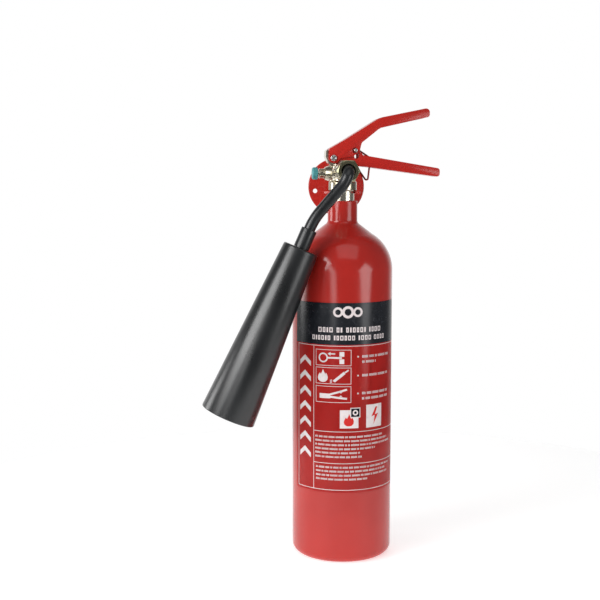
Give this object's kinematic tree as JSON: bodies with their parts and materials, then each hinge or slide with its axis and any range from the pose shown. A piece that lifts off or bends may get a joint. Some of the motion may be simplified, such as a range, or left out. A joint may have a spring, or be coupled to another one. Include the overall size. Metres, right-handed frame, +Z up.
{
  "type": "fire extinguisher",
  "caption": "Portable carbon dioxide fire extinguisher: slim red cylinder, squeeze-grip valve with safety pin, swivelling black discharge horn and wall hook",
  "frame": {"origin": "centre of the cylinder's flat base, on the floor", "axes": "+Z up along the cylinder's axis, +X along the two handles towards their tips, -Y towards the outlet and the label, +Y towards the wall"},
  "size_m": [0.2574, 0.1372, 0.483],
  "materials": {
    "cylinder_red": "gloss red enamel on steel, light orange peel",
    "label_print": "printed vinyl wrap: red ground, black band, pale pictograms and rules",
    "handle_red": "gloss bright red powder coat on pressed steel",
    "plated_brass": "nickel-washed cast brass, satin with yellow tint",
    "olive_zinc": "olive-yellow passivated zinc on a machined steel nut",
    "bright_steel": "bright plain steel",
    "ring_wire": "red-brown lacquered spring wire",
    "teal_cap": "moulded teal plastic",
    "black_tube": "satin black coating",
    "black_horn": "satin black moulded plastic",
    "seal_rubber": "black nitrile rubber",
    "white_nylon": "natural nylon"
  },
  "bodies": {
    "extinguisher": {"cylinder": "cylinder_red", "label": "label_print", "valve_body": "plated_brass", "neck_seal_ring": "seal_rubber", "gland_nut": "plated_brass", "stem_packing_ring": "seal_rubber", "burst_disc": "bright_steel", "burst_washer": "bright_steel", "burst_plug": "plated_brass", "burst_cap": "teal_cap", "spring_seat": "plated_brass", "dip_tube": "bright_steel", "carry_handle": "handle_red", "lever_pivot_rivet": "bright_steel", "swivel_nut": "olive_zinc", "outlet_seal": "white_nylon"},
    "lever": {"operating_lever": "handle_red"},
    "stem": {"valve_stem": "bright_steel", "seat_disc": "white_nylon", "seat_carrier": "plated_brass", "closing_spring": "bright_steel"},
    "safety_pin": {"safety_pin": "bright_steel"},
    "pull_ring": {"pull_ring": "ring_wire"},
    "horn": {"swivel_ferrule": "black_tube", "discharge_tube": "black_tube", "horn_collar": "black_tube", "horn": "black_horn", "horn_lock_nut": "bright_steel", "gas_nozzle": "plated_brass"},
    "wall_hook": {"hook_plate": "handle_red", "hook_fork": "handle_red"}
  },
  "joints": [
    {"name": "lever_squeeze", "type": "hinge", "parent": "extinguisher", "child": "lever", "pos_m": [-0.0113, 0, 0.4304], "axis": [0, 1, 0], "range_deg": [0, 15], "stiffness_Nm_per_rad": 0.5, "springref_deg": -17.19},
    {"name": "stem_slide", "type": "slide", "parent": "extinguisher", "child": "stem", "axis": [0, 0, -1], "range_m": [0, 0.0042], "deforming": ["closing_spring"]},
    {"name": "safety_pin_pull", "type": "slide", "parent": "lever", "child": "safety_pin", "axis": [0, 1, 0], "range_m": [0, 0.03]},
    {"name": "pull_ring_flip", "type": "hinge", "parent": "safety_pin", "child": "pull_ring", "pos_m": [0.0122, 0.0165, 0.4385], "axis": [0.7549, 0, 0.6559], "range_deg": [0, 100]},
    {"name": "horn_swivel", "type": "hinge", "parent": "extinguisher", "child": "horn", "pos_m": [0, -0.04, 0.4164], "axis": [0, 1, 0], "range_deg": [0, 150]},
    {"name": "hook_slide", "type": "slide", "parent": "extinguisher", "child": "wall_hook", "axis": [0, 1, 0], "range_m": [0, 0.06]}
  ],
  "couplings": [
    {"joint": "stem_slide", "follows": "lever_squeeze", "m_per_rad": 0.0155}
  ]
}
